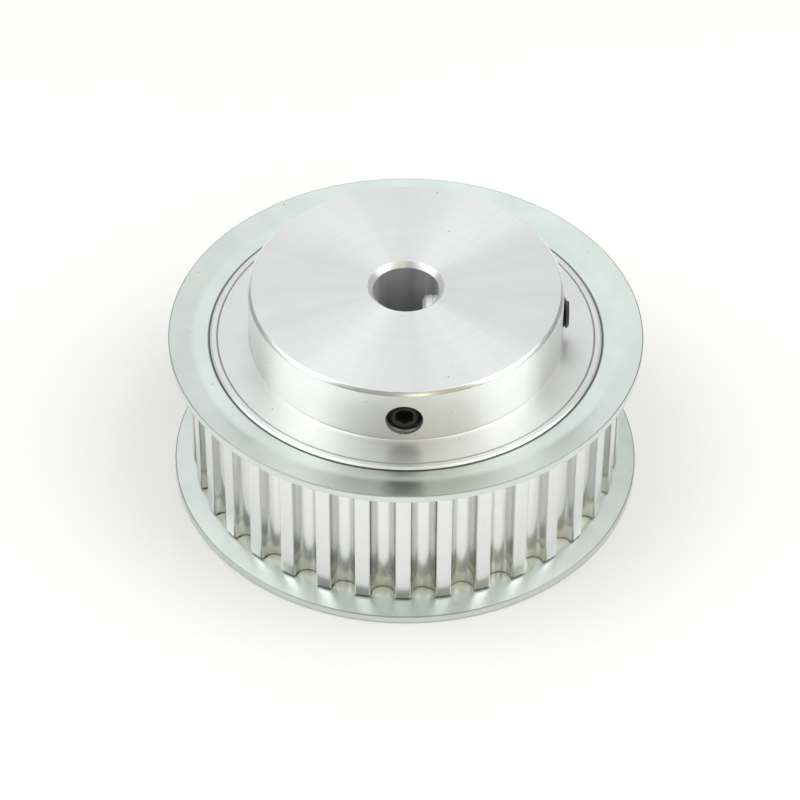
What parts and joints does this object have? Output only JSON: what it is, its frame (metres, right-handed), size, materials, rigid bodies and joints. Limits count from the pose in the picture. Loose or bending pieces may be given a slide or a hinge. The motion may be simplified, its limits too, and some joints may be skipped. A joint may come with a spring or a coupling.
{
  "type": "timing belt pulley",
  "caption": "Toothed aluminium timing belt pulley with a steel flange at each end of the rim, a raised hub, a plain shaft bore and radial setscrews in the hub.",
  "frame": {"origin": "on the shaft axis, in the plane that the rim of the lower flange stands on", "axes": "+Z along the shaft axis towards the hub, -Y towards the front setscrew, +X towards the side setscrew"},
  "size_m": [0.0576, 0.0576, 0.0283],
  "materials": {
    "aluminium": "turned and hobbed, bare",
    "zinc_plated_steel": "bright zinc plate, smooth",
    "black_oxide_steel": "black oxide"
  },
  "bodies": {
    "pulley": {"pulley_body": "aluminium", "flange_hub_side": "zinc_plated_steel", "flange_end_side": "zinc_plated_steel"},
    "front_setscrew": {"setscrew_front": "black_oxide_steel"},
    "side_setscrew": {"setscrew_side": "black_oxide_steel"}
  },
  "joints": [
    {"name": "front_setscrew_travel", "type": "slide", "parent": "pulley", "child": "front_setscrew", "axis": [0, -1, 0], "range_m": [-0.0025, 0.0085]},
    {"name": "side_setscrew_travel", "type": "slide", "parent": "pulley", "child": "side_setscrew", "axis": [1, 0, 0], "range_m": [-0.00365, 0.00735]}
  ]
}
